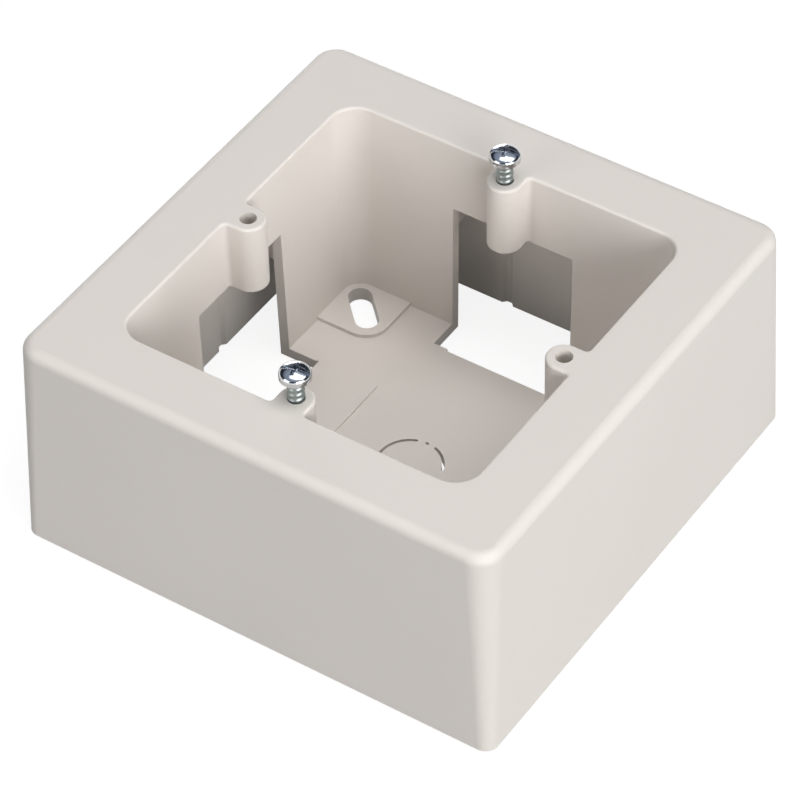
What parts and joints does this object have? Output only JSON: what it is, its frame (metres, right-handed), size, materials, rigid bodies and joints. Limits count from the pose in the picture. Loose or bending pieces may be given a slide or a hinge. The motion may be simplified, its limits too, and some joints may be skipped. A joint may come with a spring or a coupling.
{
  "type": "surface switch box",
  "caption": "Square surface-mounted plastic box that holds a wall switch or socket, with a deep open well, screw bosses in its sides and pan-head fixing screws.",
  "frame": {"origin": "middle of the back rim, the face that lies on the wall", "axes": "+Z out of the wall towards the open front, -Y towards the front-left side of the picture, +X towards its front-right side"},
  "size_m": [0.09, 0.09, 0.048],
  "materials": {
    "box_plastic": "fine satin, warm white",
    "screw_steel": "bright zinc plating"
  },
  "bodies": {
    "box": {"box_body": "box_plastic"},
    "screw_front": {"fixing_screw_front": "screw_steel"},
    "screw_back": {"fixing_screw_back": "screw_steel"}
  },
  "joints": [
    {"name": "screw_front_travel", "type": "slide", "parent": "box", "child": "screw_front", "axis": [0, 0, 1], "range_m": [-0.0044, 0.0095]},
    {"name": "screw_back_travel", "type": "slide", "parent": "box", "child": "screw_back", "axis": [0, 0, 1], "range_m": [-0.0044, 0.0095]}
  ]
}
